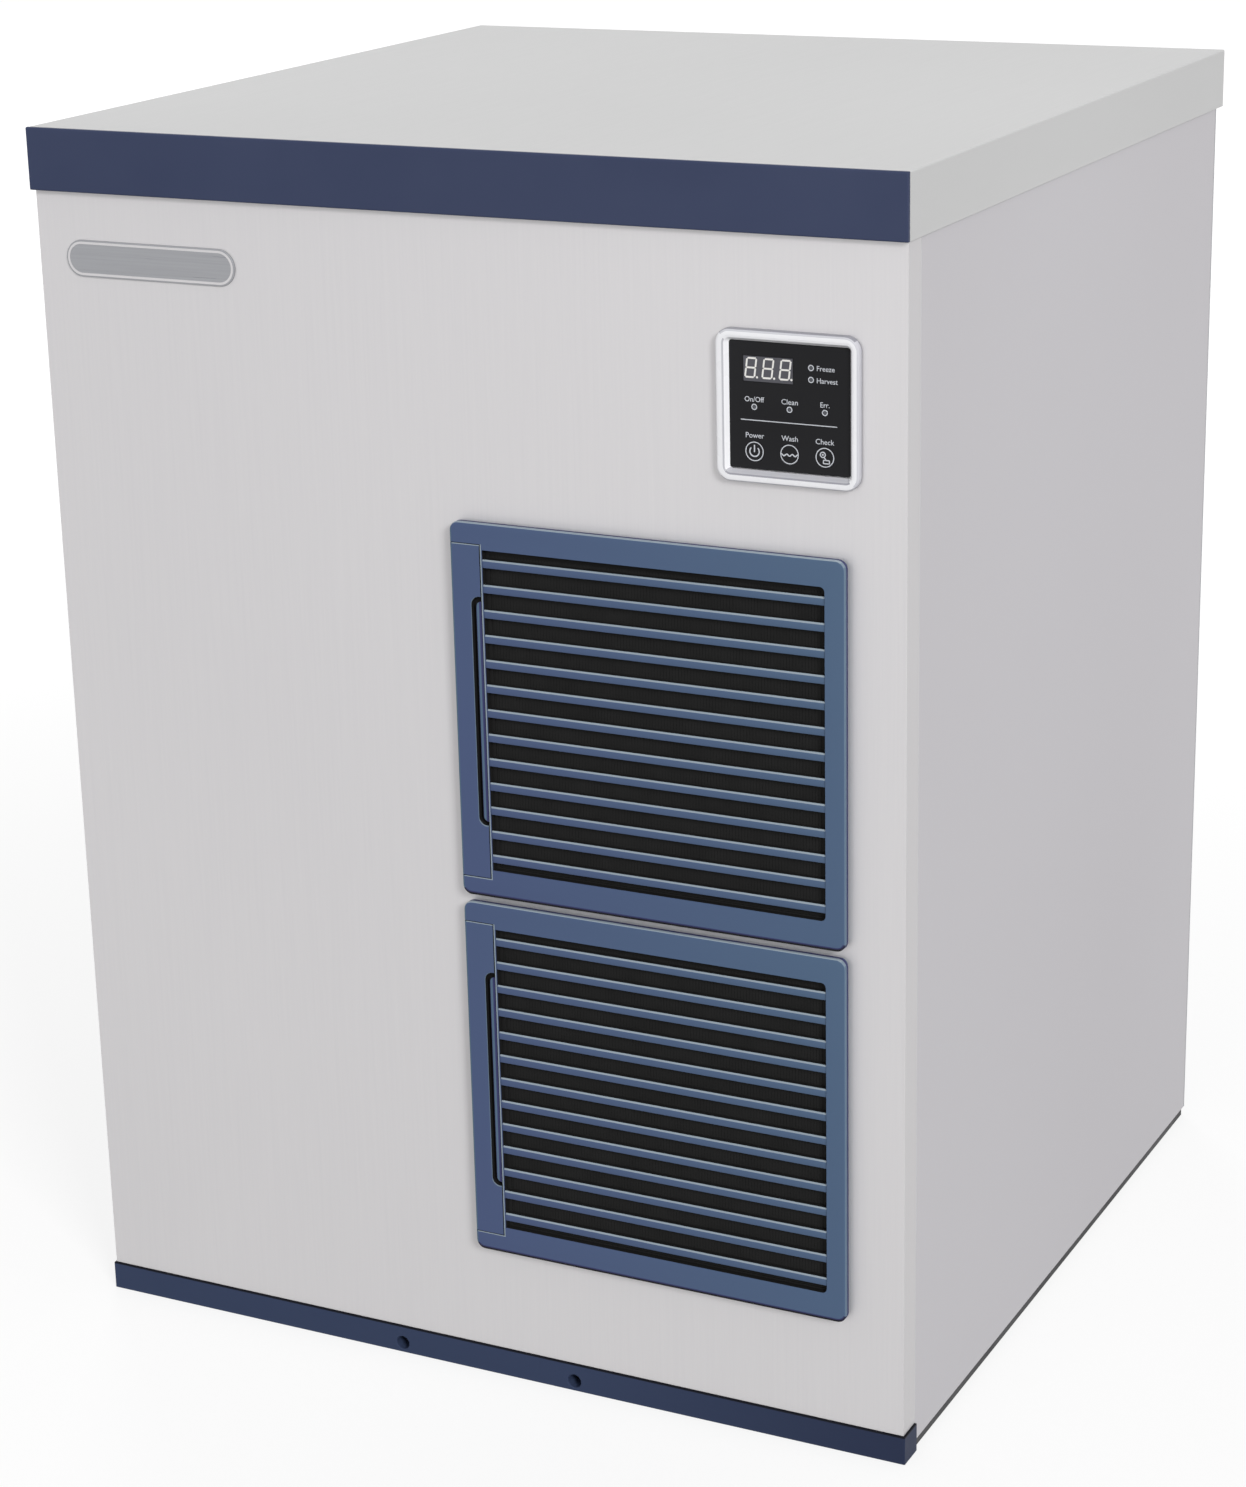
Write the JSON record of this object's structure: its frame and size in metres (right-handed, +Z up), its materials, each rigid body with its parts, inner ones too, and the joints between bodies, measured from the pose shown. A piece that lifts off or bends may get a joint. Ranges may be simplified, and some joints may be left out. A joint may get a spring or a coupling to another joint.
{
  "type": "modular ice maker",
  "caption": "Boxy stainless modular ice maker head with blue louvred air grilles, slide-out filters, a square control panel and its freezing and cooling works inside.",
  "frame": {"origin": "middle of the footprint on the plane that the unit stands on", "axes": "+Z up, -Y out of the front with the grilles, +X to the right as seen from the front"},
  "size_m": [0.56, 0.5638, 0.762],
  "materials": {
    "stainless": "fine brushed grain",
    "galvanised": "dull zinc coat",
    "navy_trim": "fine satin, flat navy",
    "slate_blue": "satin, slightly glossy edges",
    "filter_net": "matt woven net",
    "silver_bezel": "satin silver",
    "overlay_black": "satin film",
    "display_lens": "smoked gloss",
    "board_green": "solder mask",
    "aluminium": "mill finish",
    "nickel_plate": "bright nickel plate",
    "black_enamel": "semi-gloss enamel",
    "copper": "drawn copper tube",
    "brass": "machined",
    "white_plastic": "food-grade moulding",
    "clear_plastic": "clear moulding",
    "black_plastic": "moulded",
    "screw_steel": "black oxide"
  },
  "bodies": {
    "ice_maker": {"base_front_trim": "navy_trim", "base_pan": "black_plastic", "bulkhead": "galvanised", "compressor": "black_enamel", "compressor_terminal_cover": "black_plastic", "condenser": "aluminium", "control_bezel": "silver_bezel", "control_board": "board_green", "control_overlay": "overlay_black", "discharge_pipe": "copper", "display_window": "display_lens", "distributor_tube": "clear_plastic", "drain_tube": "clear_plastic", "drier_pipe": "copper", "electrical_box": "galvanised", "electrical_lid": "galvanised", "evaporator_coil": "copper", "evaporator_grid": "nickel_plate", "evaporator_surround": "white_plastic", "expansion_pipe": "copper", "expansion_valve": "brass", "fan_bracket": "galvanised", "fan_motor": "black_enamel", "fan_shroud": "galvanised", "fill_tube": "clear_plastic", "filter_drier": "copper", "float_stem": "white_plastic", "front_frame": "galvanised", "front_panel": "stainless", "hot_gas_pipe": "copper", "hot_gas_valve": "brass", "left_side_panel": "stainless", "liquid_pipe": "copper", "lower_grille": "slate_blue", "power_gland": "black_plastic", "pump_housing": "white_plastic", "pump_motor": "black_enamel", "rear_panel": "galvanised", "right_side_panel": "stainless", "suction_pipe": "copper", "top_cover": "stainless", "top_front_band": "navy_trim", "trim_screw_left": "screw_steel", "trim_screw_right": "screw_steel", "upper_grille": "slate_blue", "water_distributor": "white_plastic", "water_inlet_valve": "white_plastic", "water_trough": "white_plastic"},
    "upper_filter": {"upper_filter_frame": "slate_blue", "upper_filter_mesh": "filter_net"},
    "lower_filter": {"lower_filter_frame": "slate_blue", "lower_filter_mesh": "filter_net"},
    "power_key": {"key_power": "overlay_black"},
    "wash_key": {"key_wash": "overlay_black"},
    "check_key": {"key_check": "overlay_black"},
    "fan": {"fan_shaft": "aluminium", "fan_blade": "aluminium"},
    "pump_rotor": {"pump_impeller": "white_plastic"},
    "curtain": {"water_curtain": "clear_plastic"},
    "float": {"water_float": "white_plastic"}
  },
  "joints": [
    {"name": "upper_filter_slide", "type": "slide", "parent": "ice_maker", "child": "upper_filter", "axis": [-1, 0, 0], "range_m": [0, 0.215]},
    {"name": "lower_filter_slide", "type": "slide", "parent": "ice_maker", "child": "lower_filter", "axis": [-1, 0, 0], "range_m": [0, 0.215]},
    {"name": "power_key_press", "type": "slide", "parent": "ice_maker", "child": "power_key", "axis": [0, 1, 0], "range_m": [0, 0.0005], "stiffness_N_per_m": 300},
    {"name": "wash_key_press", "type": "slide", "parent": "ice_maker", "child": "wash_key", "axis": [0, 1, 0], "range_m": [0, 0.0005], "stiffness_N_per_m": 300},
    {"name": "check_key_press", "type": "slide", "parent": "ice_maker", "child": "check_key", "axis": [0, 1, 0], "range_m": [0, 0.0005], "stiffness_N_per_m": 300},
    {"name": "fan_spin", "type": "hinge", "parent": "ice_maker", "child": "fan", "pos_m": [0.1251, -0.15325, 0.3155], "axis": [0, 1, 0], "continuous": true},
    {"name": "pump_spin", "type": "hinge", "parent": "ice_maker", "child": "pump_rotor", "pos_m": [-0.1496, 0.09515, 0.227], "axis": [0, 0, 1], "continuous": true},
    {"name": "curtain_swing", "type": "hinge", "parent": "ice_maker", "child": "curtain", "pos_m": [-0.1496, -0.05485, 0.6694], "axis": [-1, 0, 0], "range_deg": [0, 30]},
    {"name": "float_rise", "type": "slide", "parent": "ice_maker", "child": "float", "axis": [0, 0, 1], "range_m": [0, 0.045]}
  ]
}
